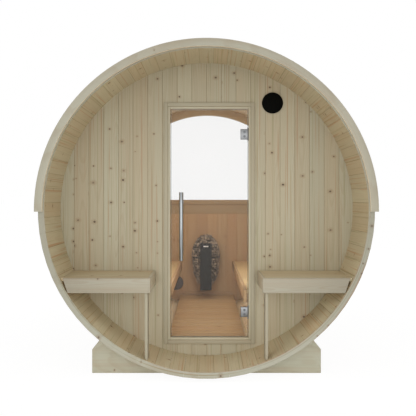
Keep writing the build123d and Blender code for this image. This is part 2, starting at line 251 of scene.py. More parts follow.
def makeGround():
    ground = addNew(bpy.ops.mesh.primitive_plane_add, size=stage["groundSize"], location=(0, 0, 0))
    ground.name = "ground"
    material, tree = newMaterial("groundPaint")
    glowShare = times(tree, seenStraight(tree), stage["groundGlow"])
    paint = node(tree, "ShaderNodeBsdfDiffuse", {"Color": stage["groundWhite"]})
    glow = node(tree, "ShaderNodeEmission", {"Color": (1, 1, 1, 1), "Strength": stage["glowStrength"]})
    mixed = node(tree, "ShaderNodeMixShader", {0: glowShare, 1: paint.outputs[0], 2: glow.outputs[0]})
    node(tree, "ShaderNodeOutputMaterial", {"Surface": mixed.outputs[0]})
    ground.data.materials.append(material)


def makeLamps():
    for name, place, target, side, watts in stage["lamps"]:
        lamp = bpy.data.lights.new(name, "AREA")
        lamp.shape = "RECTANGLE"
        lamp.size, lamp.size_y = side if isinstance(side, tuple) else (side, side)
        lamp.energy = watts
        holder = newObject(name, lamp)
        holder.location = place
        aim = Vector(target) - Vector(place)
        holder.rotation_euler = aim.to_track_quat("-Z", "Y").to_euler()
        holder.visible_camera = False
        holder.visible_glossy = name in stage["lampsInMirrors"]


bpy.context.scene.view_settings.view_transform = "Standard"
makeCamera()
makeSky()
makeGround()
makeLamps()
print("stage set")


# Colours and sizes of the grain, in metres, and how strongly each mark shows
spruce = {
    "pale": (0.520, 0.480, 0.360, 1),
    "warm": (0.500, 0.415, 0.290, 1),
    "late": (0.400, 0.300, 0.185, 1),
    "streak": (0.430, 0.265, 0.155, 1),
    "dark": (0.340, 0.300, 0.170, 1),
    "knotRim": (0.300, 0.165, 0.080, 1),
    "knotCore": (0.060, 0.032, 0.018, 1),
    # Inside the room: a browner wood tone, partly painted warm bounce light
    "roomBrownAndBounceLight": (1.02, 0.76, 0.56, 1),
    "jointShade": (0.64, 0.58, 0.49, 1),
    "strength": {"late": 0.26, "streak": 0.62, "dark": 0.55, "knotRim": 0.42, "knotCore": 0.9},
    "ringsPerMetre": 190.0,
    "boardShift": (2.7, 1.9, 11.0),
    "knotCells": 9.0,
    "knotSize": 0.0034,
    "knotSpread": 0.0062,
    "knotRagged": 0.006,
    "rimSize": 3.6,
    "heartSpread": 0.15,
    "heartUnder": 0.03,
    "heartDepthSpread": 0.10,
    "wanderSideways": 0.09,
    "wanderDeep": 0.07,
    "fibres": (700, 700, 14),
    "streaks": (95, 95, 0.9),
    "darkStreaks": (120, 120, 0.7),
    "streakFrom": (0.58, 0.70),
    "clouds": (16, 16, 0.8),
    "jointEdge": (0.0006, 0.0018),
    "endOfStave": 1.2485,
    "endSeed": 71.0,
    "bumpStrength": 0.35,
    "bumpDepth": 0.0012,
}

# Wood is inside the room past the middle of each end wall, and within the staves
room = {"frontY": -0.8151, "backY": 1.1701, "radius": 1.056}

fasciaInnerEdge = 1.0527


def layTone(tree, colour, mask, tone):
    return mixColours(tree, times(tree, mask, spruce["strength"][tone]), colour, spruce[tone])


def makeGrainGroup():
    # The colour, height and shine of a board's wood, from a point's place in the board.
    tree = bpy.data.node_groups.new("boardGrain", "ShaderNodeTree")
    addSocket = tree.interface.new_socket
    addSocket(name="Point", in_out="INPUT", socket_type="NodeSocketVector")
    for name in ("Board", "Knots", "Board Change", "Streaks", "Edge", "Room"):
        addSocket(name=name, in_out="INPUT", socket_type="NodeSocketFloat")
    addSocket(name="Colour", in_out="OUTPUT", socket_type="NodeSocketColor")
    for name in ("Height", "Shine"):
        addSocket(name=name, in_out="OUTPUT", socket_type="NodeSocketFloat")
    given = tree.nodes.new("NodeGroupInput").outputs
    dice = node(tree, "ShaderNodeTexWhiteNoise", {"W": given["Board"]}, noise_dimensions="1D").outputs
    dieA, dieB, dieC = split(tree, dice["Color"])
    across, through = split(tree, given["Point"])[:2]
    shift = stretched(tree, dice["Color"], *spruce["boardShift"])
    moved = vectorMaths(tree, "ADD", given["Point"], shift)
    movedAcross, _, movedAlong = split(tree, moved)

    # Knots go through the board, a few to a board.
    knotPlace = combine(tree, movedAcross, times(tree, movedAlong, 1.2), 0.0)
    values = {"Vector": knotPlace, "Scale": spruce["knotCells"]}
    cells = node(tree, "ShaderNodeTexVoronoi", values, voronoi_dimensions="2D").outputs
    cellA, cellB, cellC = split(tree, cells["Color"])
    here = maths(tree, "GREATER_THAN", given["Knots"], cellA)
    apart = maths(tree, "DIVIDE", cells["Distance"], spruce["knotCells"])
    ragged = noise(tree, stretched(tree, moved, 1, 1, 0.7), 90.0, 1.0)
    apart = timesPlus(tree, minus(tree, ragged, 0.5), spruce["knotRagged"], apart)
    size = timesPlus(tree, cellB, spruce["knotSpread"], spruce["knotSize"])
    knot = minus(tree, 1.0, rise(tree, apart, times(tree, size, 0.7), size))
    knot = times(tree, knot, times(tree, here, timesPlus(tree, cellC, 0.6, 0.4)))
    rim = minus(tree, 1.0, rise(tree, apart, 0.0, times(tree, size, spruce["rimSize"])))
    rim = times(tree, rim, here)

    # Year rings round a heart that lies under the board and wanders along it.
    wanderPlace = combine(tree, times(tree, movedAlong, 0.8), dieA, 0.0)
    wander = minus(tree, noise(tree, wanderPlace, 1.0, 2.0), 0.5)
    deepPlace = vectorMaths(tree, "ADD", wanderPlace, (0, 7, 0))
    deepWander = minus(tree, noise(tree, deepPlace, 1.0, 2.0), 0.5)
    heartAcross = times(tree, wander, spruce["wanderSideways"])
    heartAcross = timesPlus(tree, minus(tree, dieB, 0.5), spruce["heartSpread"], heartAcross)
    heartDepth = timesPlus(tree, deepWander, spruce["wanderDeep"], spruce["heartUnder"])
    heartDepth = timesPlus(tree, dieC, spruce["heartDepthSpread"], heartDepth)
    sideways = minus(tree, across, heartAcross)
    deep = maths(tree, "ADD", through, heartDepth)
    reach = timesPlus(tree, rim, 0.010, hypotenuse(tree, sideways, deep))
    waver = noise(tree, stretched(tree, moved, 30, 30, 1.6), 1.0, 1.0)
    reach = timesPlus(tree, waver, 0.004, reach)
    ring = maths(tree, "FRACT", times(tree, reach, spruce["ringsPerMetre"]))
    late = times(tree, rise(tree, ring, 0.35, 0.85), rise(tree, ring, 1.0, 0.88))

    # Fine fibres, long streaks and broad clouds drawn out along the board.
    fibre = noise(tree, stretched(tree, moved, *spruce["fibres"]), 1.0, 2.0, 0.6)
    streak = noise(tree, stretched(tree, moved, *spruce["streaks"]), 1.0, 2.0)
    streak = times(tree, rise(tree, streak, *spruce["streakFrom"]), given["Streaks"])
    darkPlace = vectorMaths(tree, "ADD", stretched(tree, moved, *spruce["darkStreaks"]), (31, 17, 5))
    dark = rise(tree, noise(tree, darkPlace, 1.0, 2.0), *spruce["streakFrom"])
    dark = times(tree, dark, given["Streaks"])
    cloud = rise(tree, noise(tree, stretched(tree, moved, *spruce["clouds"]), 1.0, 2.0), 0.3, 0.7)

    warmth = times(tree, dice["Value"], given["Board Change"])
    warmth = timesPlus(tree, cloud, 0.42, warmth, clamp=True)
    colour = mixColours(tree, warmth, spruce["pale"], spruce["warm"])
    for mask, tone in ((late, "late"), (streak, "streak"), (dark, "dark")):
        colour = layTone(tree, colour, mask, tone)
    light = timesPlus(tree, fibre, 0.16, 0.92)
    light = times(tree, light, timesPlus(tree, minus(tree, dieB, 0.5), 0.09, 1.0))
    colour = dimmed(tree, colour, light)
    for mask, tone in ((rim, "knotRim"), (knot, "knotCore")):
        colour = layTone(tree, colour, mask, tone)

    # Dirt and shade in the joints between boards.
    joint = minus(tree, 1.0, rise(tree, given["Edge"], *spruce["jointEdge"]))
    colour = mixColours(tree, joint, colour, tinted(tree, colour, spruce["jointShade"]))

    # Wood inside the room is browner, partly its own warmer tone and partly painted warm bounce light.
    inside = times(tree, insideRoom(tree), given["Room"])
    colour = mixColours(tree, inside, colour, tinted(tree, colour, spruce["roomBrownAndBounceLight"]))

    height = timesPlus(tree, fibre, 0.5, times(tree, late, 0.3))
    height = timesPlus(tree, knot, 0.5, height)
    shine = timesPlus(tree, late, -0.10, timesPlus(tree, fibre, 0.16, 0.52))
    node(tree, "NodeGroupOutput", {"Colour": colour, "Height": height, "Shine": shine})
    return tree


def fromAxis(tree, x, z):
    # How far above the barrel's axis a point is, and how far out from it.
    up = minus(tree, z, barrel["axisZ"])
    return up, hypotenuse(tree, x, up)


def insideRoom(tree):
    x, y, z = split(tree, objectPlace(tree))
    front = maths(tree, "GREATER_THAN", y, room["frontY"])
    back = maths(tree, "LESS_THAN", y, room["backY"])
    within = maths(tree, "LESS_THAN", fromAxis(tree, x, z)[1], room["radius"])
    return times(tree, times(tree, front, back), within)


def boardPlace(tree, look):
    # Where a point is across, through and along its board, the board's number, and how near its edge.
    across, through, along = look["axes"]
    x, y, z = split(tree, objectPlace(tree))
    lengths = {"x": x, "y": y, "z": z, "sideways": maths(tree, "ABSOLUTE", x)}
    if "radius" in look["axes"] or "arc" in look["axes"]:
        up, lengths["radius"] = fromAxis(tree, x, z)
        turn = maths(tree, "ADD", maths(tree, "ARCTAN2", up, x), barrel["staveTurn"] / 2)
        turn = maths(tree, "FLOORED_MODULO", turn, 2 * math.pi)
        turn = minus(tree, turn, barrel["staveTurn"] / 2)
        lengths["arc"] = times(tree, turn, barrel["arcRadius"])
    width = look["width"]
    steps = maths(tree, "DIVIDE", minus(tree, lengths[across], look["start"]), width)
    number = maths(tree, "FLOOR", steps)
    local = times(tree, minus(tree, minus(tree, steps, number), 0.5), width)
    number = maths(tree, "ADD", number, look["seed"])
    if look["twoSides"]:
        number = timesPlus(tree, maths(tree, "GREATER_THAN", x, 0.0), look["otherSide"], number)
    point = combine(tree, local, minus(tree, lengths[through], look["middle"]), lengths[along])
    edge = 1.0
    if look["joints"]:
        edge = minus(tree, width / 2, maths(tree, "ABSOLUTE", local))
    return point, number, edge


def endTrim(tree, point, number, edge):
    # The staves' ends are planed together and look like one trim ring, its grain round the barrel.
    ring = boardPlace(tree, woodLooks["fasciaWood"])[0]
    y = split(tree, objectPlace(tree))[1]
    atEnd = maths(tree, "GREATER_THAN", maths(tree, "ABSOLUTE", y), spruce["endOfStave"])
    point = node(tree, "ShaderNodeMix", {0: atEnd, 4: point, 5: ring}, data_type="VECTOR").outputs[1]
    number = node(tree, "ShaderNodeMix", {0: atEnd, 2: number, 3: spruce["endSeed"]}).outputs[0]
    return point, number, maths(tree, "ADD", edge, atEnd), atEnd


def onInnerEdge(tree):
    # The fascias' edge that faces the barrel's axis, where painted light brightens the wood against the
    # shade on it.
    x, _, z = split(tree, objectPlace(tree))
    return maths(tree, "LESS_THAN", fromAxis(tree, x, z)[1], fasciaInnerEdge)


def makeWood(name, look):
    material, tree = newMaterial(name)
    point, number, edge = boardPlace(tree, look)
    tint = look["tint"]
    if "endTint" in look:
        point, number, edge, atEnd = endTrim(tree, point, number, edge)
        tint = mixColours(tree, atEnd, tint, look["endTint"])
    if "lipTint" in look:
        lip = maths(tree, "COMPARE", number, look["seed"], 0.5)
        tint = mixColours(tree, lip, tint, look["lipTint"])
    # Painted light: the fascias' inner edge is made brighter to cancel the shade on it.
    if "innerEdgePaintedLight" in look:
        tint = mixColours(tree, onInnerEdge(tree), tint, look["innerEdgePaintedLight"])
    grain = node(tree, "ShaderNodeGroup", {
        "Point": point, "Board": number, "Edge": edge, "Knots": look["knots"],
        "Board Change": look["change"], "Streaks": look["streaks"], "Room": look["room"],
    }, node_tree=grainGroup).outputs
    addShader(tree, {
        "Base Color": tinted(tree, grain["Colour"], tint), "Roughness": grain["Shine"],
        "Normal": bump(tree, grain["Height"], spruce["bumpStrength"], spruce["bumpDepth"]),
        "Specular IOR Level": 0.35,
    })
    return material


grainGroup = makeGrainGroup()
ringWidth = barrel["staveTurn"] * barrel["arcRadius"]

# What a look below doesn't say for itself
plainLook = {
    "width": 0.2,
    "start": 0.0,
    "middle": 0.0,
    "knots": 0.06,
    "change": 0.75,
    "streaks": 0.6,
    "room": 1.0,
    "tint": (1, 1, 1, 1),
    "joints": False,
    "twoSides": False,
    "otherSide": 57.0,
}

frameLook = {
    "middle": -0.82, "knots": 0.03, "change": 0.2, "streaks": 0.2, "joints": True,
    "tint": (0.83, 0.84, 0.83, 1), "lipTint": (1.02, 1.05, 1.05, 1),
}

# Each wood's boards: their axes (across, through, along), width and first joint
woodLooks = {
    "staveWood": {
        "axes": ("arc", "radius", "y"), "width": ringWidth, "start": -ringWidth / 2, "middle": 1.06,
        "seed": 3.0, "knots": 0.2, "streaks": 1.3, "joints": True, "room": 0.4,
        "tint": (1.08, 1.04, 0.92, 1), "endTint": (0.80, 0.85, 0.90, 1),
    },
    "roofWood": {
        "axes": ("arc", "radius", "y"), "width": ringWidth, "middle": 1.093, "seed": 211.0,
        "knots": 0.16, "joints": True,
    },
    "wallWood": {
        "axes": ("x", "y", "z"), "width": 0.105, "middle": -0.815, "seed": 11.0,
        "knots": 0.3, "streaks": 1.1, "joints": True, "change": 0.6, "tint": (0.91, 0.93, 0.905, 1),
    },
    "backWallWood": {
        "axes": ("x", "y", "z"), "width": 0.105, "middle": 1.17, "seed": 511.0,
        "knots": 0.08, "streaks": 0.9, "joints": True, "tint": (0.89, 0.88, 0.81, 1),
    },
    "crossBackWood": {
        "axes": ("z", "y", "x"), "start": 0.981, "middle": 1.17, "seed": 31.0,
        "tint": (0.70, 0.76, 0.74, 1),
    },
    "archWood": {
        "axes": ("radius", "y", "arc"), "start": 0.905, "middle": 1.17, "seed": 41.0,
        "tint": (0.90, 1.0, 1.02, 1),
    },
    "fasciaWood": {
        "axes": ("radius", "y", "arc"), "start": 0.9785, "seed": 53.0, "knots": 0.05, "change": 0.3,
        "streaks": 0.2, "tint": (0.955, 1.0, 1.055, 1), "innerEdgePaintedLight": (1.55, 1.50, 1.50, 1),
    },
    # The cradles' tint is painted light, lifting them against the shade they stand in under the barrel.
    "cradleWood": {
        "axes": ("z", "y", "x"), "width": 0.4, "start": -0.06, "seed": 61.0, "knots": 0.1, "change": 0.3,
        "streaks": 0.3, "tint": (1.12, 1.20, 1.25, 1),
    },
    "jambWood": {**frameLook, "axes": ("x", "y", "z"), "width": 0.591, "start": -0.2755, "seed": 71.0},
    "headWood": {**frameLook, "axes": ("z", "y", "x"), "width": 1.664, "start": 0.1775, "seed": 81.0},
    "apronWood": {
        "axes": ("z", "y", "x"), "start": 0.53, "middle": -1.24, "seed": 91.0, "knots": 0.12,
        "change": 0.4, "twoSides": True, "streaks": 0.3, "tint": (0.725, 0.735, 0.76, 1),
    },
    "endBoardWood": {
        "axes": ("z", "x", "y"), "start": 0.53, "seed": 97.0, "knots": 0.1, "change": 0.4,
        "twoSides": True,
    },
    "legWood": {
        "axes": ("y", "x", "z"), "start": -1.28, "seed": 103.0, "change": 0.4, "twoSides": True,
        "tint": (0.72, 0.735, 0.735, 1),
    },
    "porchSeatWood": {
        "axes": ("y", "z", "x"), "width": 0.1003, "start": -1.2342, "middle": 0.66, "seed": 113.0,
        "knots": 0.1, "twoSides": True, "tint": (1.10, 1.08, 1.0, 1),
    },
    "benchWood": {
        "axes": ("sideways", "z", "y"), "width": 0.155, "start": 0.2868, "middle": 0.516, "seed": 127.0,
        "knots": 0.03, "change": 0.4, "twoSides": True, "streaks": 0.4, "tint": (1.43, 1.58, 1.44, 1),
    },
    "benchFrontWood": {
        "axes": ("z", "x", "y"), "start": 0.38, "seed": 137.0, "knots": 0.04, "change": 0.4,
        "twoSides": True, "tint": (1.15, 1.15, 1.08, 1),
    },
    "bearerWood": {
        "axes": ("z", "y", "x"), "start": 0.36, "seed": 139.0, "change": 0.4, "twoSides": True,
    },
    "floorWood": {
        "axes": ("y", "z", "x"), "width": 0.09695, "start": -0.792, "middle": 0.16, "seed": 149.0,
        "knots": 0.05, "change": 0.5, "tint": (1.07, 1.08, 0.97, 1),
    },
    "skirtingWood": {
        "axes": ("z", "y", "x"), "width": 0.3, "start": 0.05, "middle": 1.14, "seed": 163.0,
        "knots": 0.03, "change": 0.3, "tint": (0.82, 0.82, 0.82, 1),
    },
    "joistWood": {
        "axes": ("x", "z", "y"), "start": -0.1, "middle": 0.11, "seed": 151.0, "change": 0.4,
    },
}
woodLooks = {name: {**plainLook, **look} for name, look in woodLooks.items()}
woods = {name: makeWood(name, look) for name, look in woodLooks.items()}
print("wood ready:", len(woods), "looks")


meshing = {
    "mergeWithin": 0.00002,
    "flatWithin": math.radians(0.3),
    "roundSharperThan": math.radians(40),
    "smoothUnder": math.radians(35),
}


def editAll(piece):
    select(piece)
    editMode()
    bpy.ops.mesh.select_all(action="SELECT")


def copyNode(nodeName, pieceName):
    # A copy of a solid of the part, its triangles joined up.
    piece = newObject(pieceName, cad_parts[nodeName].data.copy())
    editAll(piece)
    bpy.ops.mesh.remove_doubles(threshold=meshing["mergeWithin"])
    objectMode()
    return piece


def copyWhole(nodeName, pieceName):
    # The same, with its flat faces made whole.
    piece = copyNode(nodeName, pieceName)
    editAll(piece)
    bpy.ops.mesh.dissolve_limited(angle_limit=meshing["flatWithin"])
    objectMode()
    return piece


def roundEdges(piece, width, segments=2):
    bevel = piece.modifiers.new("roundEdges", "BEVEL")
    bevel.width = width
    bevel.segments = segments
    bevel.limit_method = "ANGLE"
    bevel.angle_limit = meshing["roundSharperThan"]
    select(piece)
    bpy.ops.object.modifier_apply(modifier=bevel.name)
    bpy.ops.object.shade_smooth_by_angle(angle=meshing["smoothUnder"])


def selectParts(piece, kind, parts, test):
    # In edit mode afterwards, with just the faces or edges that pass selected.
    select(piece)
    editMode()
    bpy.ops.mesh.select_mode(type=kind)
    deselectMesh()
    objectMode()
    for part in getattr(piece.data, parts):
        part.select = test(part)
    editMode()


def selectFaces(piece, test):
    selectParts(piece, "FACE", "polygons", test)


def easeEdges(piece, width, test):
    # Eases just the edges between two points that pass the test.
    selectParts(piece, "EDGE", "edges", lambda edge: test(
        *(piece.data.vertices[number].co for number in edge.vertices)))
    bpy.ops.mesh.bevel(offset=width, segments=2)
    objectMode()
    bpy.ops.object.shade_smooth_by_angle(angle=meshing["smoothUnder"])


def dress(piece, material, slotName, nodeName=None, body="sauna"):
    piece.data.materials.clear()
    piece.data.materials.append(material)
    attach(piece, body)
    if nodeName:
        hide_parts(nodeName)


# Straight boards: wood, slot, how far their edges are rounded, and their solids
boards = (
    ("roofWood", "roof_wood", 0.003, ("roof_left", "roof_top", "roof_right")),
    ("cradleWood", "trim_wood", 0.003, ("cradle_front", "cradle_back")),
    ("jambWood", "frame_wood", 0.002, ("door_jambs",)),
    ("headWood", "frame_wood", 0.002, ("door_head", "door_sill")),
    ("crossBackWood", "wall_wood", 0.002, ("back_rail",)),
    ("crossBackWood", "wall_wood", 0.003, ("window_sill",)),
    ("archWood", "wall_wood", 0.003, ("window_arch",)),
    ("floorWood", "bench_wood", 0.0025, ("floor_slats",)),
    ("joistWood", "bench_wood", 0.0015, ("floor_joists",)),
    ("benchWood", "bench_wood", 0.004, ("bench_seat_left", "bench_seat_right")),
    ("benchFrontWood", "bench_wood", 0.003, ("bench_fronts",)),
    ("bearerWood", "bench_wood", 0.002, ("bench_bearers",)),
    ("porchSeatWood", "wall_wood", 0.003, ("porch_seat_left", "porch_seat_right")),
    ("apronWood", "trim_wood", 0.002, ("porch_fronts",)),
    ("endBoardWood", "trim_wood", 0.002, ("porch_ends",)),
    ("legWood", "trim_wood", 0.002, ("porch_legs",)),
)


def makeBoards():
    for wood, slotName, rounded, nodeNames in boards:
        for nodeName in nodeNames:
            piece = copyWhole(nodeName, nodeName + "_boards")
            roundEdges(piece, rounded)
            dress(piece, woods[wood], slotName, nodeName)


staves = {
    "sides": ("right", "upper_right", "top", "upper_left", "left", "lower_left", "bottom", "lower_right"),
    "eased": 0.0012,
    "longerThan": 2.0,
}


def makeStaves():
    # Only the long edges are eased: the ends were cut together, in one ring.
    for side in staves["sides"]:
        nodeName = "staves_" + side
        piece = copyWhole(nodeName, nodeName + "_boards")
        easeEdges(piece, staves["eased"], lambda first, second: (
            abs(first.y - second.y) > staves["longerThan"]))
        dress(piece, woods["staveWood"], "stave_wood", nodeName)


fascias = {
    "nodes": ("fascia_front", "fascia_back"),
    "eased": 0.0025,
}


def outFromAxis(point):
    return math.hypot(point.x, point.z - barrel["axisZ"])


def makeFascias():
    # Only the curved edges are eased, so that the joints between lengths stay tight.
    for nodeName in fascias["nodes"]:
        piece = copyWhole(nodeName, nodeName + "_boards")
        easeEdges(piece, fascias["eased"], lambda first, second: (
            abs(first.y - second.y) < 0.0001 and abs(outFromAxis(first) - outFromAxis(second)) < 0.001))
        dress(piece, woods["fasciaWood"], "trim_wood", nodeName)


makeStaves()
makeBoards()
makeFascias()
print("boards made")


panels = {
    "pitch": 0.105,
    "jointHalfWidth": 0.0020,
    "jointDepth": 0.0016,
}


def grooveWall(piece, faces):
    # A V down each joint between the boards, on both faces of the wall.
    pitch = panels["pitch"]
    half = panels["jointHalfWidth"]
    xs = [vertex.co.x for vertex in piece.data.vertices]
    first = math.ceil((min(xs) - half) / pitch)
    last = math.floor((max(xs) + half) / pitch)
    select(piece)
    editMode()
    for number in range(first, last + 1):
        for cut in (-half, 0.0, half):
            bpy.ops.mesh.select_all(action="SELECT")
            bpy.ops.mesh.bisect(plane_co=(number * pitch + cut, 0, 0), plane_no=(1, 0, 0))
    deselectMesh()
    objectMode()
    for faceY, inward in faces:
        for vertex in piece.data.vertices:
            offset = abs((vertex.co.x / pitch + 0.5) % 1.0 - 0.5) * pitch
            vertex.select = offset < 0.0001 and abs(vertex.co.y - faceY) < 0.0001
        editMode()
        bpy.ops.transform.translate(value=(0, inward * panels["jointDepth"], 0))
        deselectMesh()
        objectMode()


def makeWalls():
    for side in ("left", "right", "top", "bottom"):
        nodeName = "front_wall_" + side
        piece = copyNode(nodeName, nodeName + "_boards")
        grooveWall(piece, ((barrel["frontWallY"], 1), (barrel["roomFrontY"], -1)))
        dress(piece, woods["wallWood"], "wall_wood", nodeName)
    piece = copyNode("back_wall", "back_wall_boards")
    grooveWall(piece, ((barrel["roomBackY"], 1), (barrel["backWallY"], -1)))
    dress(piece, woods["backWallWood"], "wall_wood", "back_wall")


makeWalls()
print("end walls made")


scratches = {
    "across": 900.0,
    "along": 12.0,
    "bump": 0.12,
    "depth": 0.0003,
}


def makeMetal(name, base, roughness, along):
    # Satin metal, its fine scratches drawn out along one direction.
    material, tree = newMaterial(name)
    place = objectPlace(tree)
    drawn = [scratches["along"] if axis == along else scratches["across"] for axis in "xyz"]
    fine = noise(tree, stretched(tree, place, *drawn), 1.0, 2.0, 0.6)
    cloud = noise(tree, place, 9.0, 3.0)
    light = timesPlus(tree, fine, 0.16, timesPlus(tree, cloud, 0.10, 0.86))
    addShader(tree, {
        "Base Color": dimmed(tree, base, light), "Metallic": 1.0,
        "Roughness": timesPlus(tree, fine, 0.18, roughness),
        "Normal": bump(tree, fine, scratches["bump"], scratches["depth"]),
    })
    return material


def makePainted(name, base, roughness, grainSize, depth, gloss):
    # Moulded or powder-coated surface with a fine grain.
    material, tree = newMaterial(name)
    place = objectPlace(tree)
    grain = noise(tree, place, grainSize, 2.0, 0.6)
    dust = noise(tree, place, 14.0, 3.0)
    light = timesPlus(tree, grain, 0.3, timesPlus(tree, dust, 0.3, 0.70))
    addShader(tree, {
        "Base Color": dimmed(tree, base, light), "Roughness": timesPlus(tree, dust, 0.12, roughness),
        "Normal": bump(tree, grain, 0.3, depth), "Specular IOR Level": gloss,
    })
    return material


def makeGlass(name, colour, alpha):
    # Clear glass with a faint film and smears on it.
    material, tree = newMaterial(name)
    place = objectPlace(tree)
    film = noise(tree, place, 2.4, 4.0, 0.6)
    smear = noise(tree, stretched(tree, place, 14, 14, 3), 1.0, 3.0)
    filmed = tuple(part * 0.85 for part in colour[:3]) + (1,)
    addShader(tree, {
        "Base Color": mixColours(tree, film, colour, filmed), "Alpha": alpha, "IOR": 1.5,
        "Roughness": timesPlus(tree, film, 0.05, timesPlus(tree, smear, 0.03, 0.02)),
    })
    return material


# The egg-shaped heap of stones: its height above and below its widest level
stoneEgg = {"rise": 0.216, "drop": 0.340}

# deep and outer: where the painted shade and light of the heap start and end, and how much colour each
# leaves
stoneLook = {
    "dark": (0.080, 0.062, 0.047, 1),
    "pale": (0.400, 0.305, 0.210, 1),
    "patch": (0.33, 0.26, 0.19, 1),
    "deep": (0.89, 0.05),
    "outer": (1.03, 1.20),
}


def depthInHeap(tree, place):
    # 1 at the surface of the heap, 0 at its middle.
    low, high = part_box("heater_stones")
    wide = (high.x - low.x) / 2
    middle = ((low.x + high.x) / 2, high.y - wide, high.z - stoneEgg["rise"])
    x, y, z = split(tree, vectorMaths(tree, "SUBTRACT", place, middle))
    tall = rise(tree, z, -0.001, 0.001, stoneEgg["drop"], stoneEgg["rise"])
    level = maths(tree, "DIVIDE", z, tall)
    out = timesPlus(tree, x, x, times(tree, y, y))
    out = maths(tree, "DIVIDE", out, wide * wide)
    return maths(tree, "SQRT", timesPlus(tree, level, level, out))


def makeStone():
    # Each stone has its own brown, with speckles and patches, and painted shade darkens the heap in its
    # gaps.
    material, tree = newMaterial("heaterStone")
    place = objectPlace(tree)
    cells = node(tree, "ShaderNodeTexVoronoi", {"Vector": place, "Scale": 34.0}).outputs["Color"]
    speckle = noise(tree, place, 260.0, 3.0, 0.7)
    patch = noise(tree, place, 46.0, 3.0, 0.6)
    colour = mixColours(tree, split(tree, cells)[0], stoneLook["dark"], stoneLook["pale"])
    colour = mixColours(tree, rise(tree, patch, 0.5, 0.7), colour, stoneLook["patch"])
    # Painted shade and light: the colour is dark deep in the heap, between the stones, and lighter on the
    # outer stones.
    (deepFrom, deepLight), (outerFrom, outerLight) = stoneLook["deep"], stoneLook["outer"]
    paintedGapShade = rise(tree, depthInHeap(tree, place), deepFrom, outerFrom, deepLight, outerLight)
    light = times(tree, timesPlus(tree, speckle, 0.9, 0.55), paintedGapShade)
    height = timesPlus(tree, patch, 1.0, times(tree, speckle, 0.35))
    addShader(tree, {
        "Base Color": dimmed(tree, colour, light), "Roughness": 0.92,
        "Normal": bump(tree, height, 0.7, 0.004), "Specular IOR Level": 0.2,
    })
    return material


# Colour, roughness and the way the scratches run
metals = {
    "handleSteel": ((0.36, 0.375, 0.38, 1), 0.08, "z"),
    "hingeSteel": ((0.28, 0.285, 0.29, 1), 0.26, "z"),
    "bandSteel": ((0.56, 0.57, 0.58, 1), 0.34, "y"),
    "screwSteel": ((0.16, 0.165, 0.17, 1), 0.3, "y"),
}

# Colour, roughness, fineness and depth of the grain, and gloss
paints = {
    "gasket": ((0.020, 0.020, 0.020, 1), 0.6, 700.0, 0.0002, 0.2),
    "ventBrown": ((0.105, 0.082, 0.074, 1), 0.5, 900.0, 0.0002, 0.3),
    "ventBlack": ((0.0022, 0.0022, 0.0016, 1), 0.7, 900.0, 0.0002, 0.06),
    "heaterGrey": ((0.013, 0.0125, 0.0115, 1), 0.45, 1200.0, 0.0002, 0.2),
    "wireBlack": ((0.030, 0.030, 0.030, 1), 0.4, 900.0, 0.0001, 0.4),
    "indicator": ((0.74, 0.72, 0.68, 1), 0.3, 900.0, 0.0001, 0.4),
}

# Colour and how much of it shows
glasses = {
    "doorGlass": ((0.52, 0.51, 0.49, 1), 0.05),
    "windowGlass": ((0.52, 0.53, 0.53, 1), 0.035),
    "glassEdge": ((0.20, 0.27, 0.24, 1), 0.6),
}

finishes = {"heaterStone": makeStone()}
for make, looks in ((makeMetal, metals), (makePainted, paints), (makeGlass, glasses)):
    for name, look in looks.items():
        finishes[name] = make(name, *look)

# Panes: finish, body and how far their edges are rounded
panes = {
    "door_glass": ("doorGlass", "door", 0.001),
    "window_glass": ("windowGlass", "sauna", 0.001),
}


def makeGlazing():
    for nodeName, (finish, body, rounded) in panes.items():
        piece = copyWhole(nodeName, nodeName + "_pane")
        roundEdges(piece, rounded, 1)
        dress(piece, finishes[finish], nodeName, nodeName, body)


# Metal and plastic pieces: finish, slot, body and how far their edges are rounded
fittings = {
    "door_handle": ("handleSteel", "fitting_steel", "door", 0.0012),
    "hinge_clamps": ("hingeSteel", "fitting_steel", "door", 0.0010),
    "hinge_brackets": ("hingeSteel", "fitting_steel", "sauna", 0.0004),
    "barrel_bands": ("bandSteel", "band_steel", "sauna", 0.0004),
    "vent_front": ("ventBlack", "vent_plastic", "sauna", 0.002),
    "vent_back": ("ventBrown", "vent_plastic", "sauna", 0.002),
    "heater_column": ("heaterGrey", "heater_metal", "sauna", 0.004),
    "heater_bracket": ("heaterGrey", "heater_metal", "sauna", 0.003),
}


def makeFittings():
    for nodeName, (finish, slotName, body, rounded) in fittings.items():
        piece = copyWhole(nodeName, nodeName + "_dressed")
        roundEdges(piece, rounded)
        dress(piece, finishes[finish], slotName, nodeName, body)


makeGlazing()
print("glass made")
makeFittings()
print("fittings made:", len(fittings))


def settle(piece, name):
    # Puts a new piece's place into its mesh.
    select(piece)
    bpy.ops.object.transform_apply(location=True, rotation=True, scale=True)
    piece.name = name
    piece.data.name = name


def makeBox(name, place, size):
    box = addNew(bpy.ops.mesh.primitive_cube_add, size=1.0, location=place)
    box.scale = size
    settle(box, name)
    return box


def makeCylinder(name, sides, radius, depth, place, facesFront=False):
    cylinder = addNew(
        bpy.ops.mesh.primitive_cylinder_add, vertices=sides, radius=radius, depth=depth,
        location=place, rotation=(math.radians(90) if facesFront else 0, 0, 0))
    settle(cylinder, name)
    return cylinder


def joinPieces(pieces, name):
    select(*pieces)
    bpy.ops.object.join()
    joined = bpy.context.object
    joined.name = name
    joined.data.name = name
    return joined


def facesFront(face):
    return face.normal.y < -0.9


def copyTo(source, place, turn=(0, 0, 0)):
    piece = newObject(source.name, source.data.copy())
    piece.location = place
    piece.rotation_euler = turn
    settle(piece, source.name)
    return piece


glassEdge = {
    "width": 0.0030,
    "proud": 0.00006,
    "rounded": 0.0004,
}


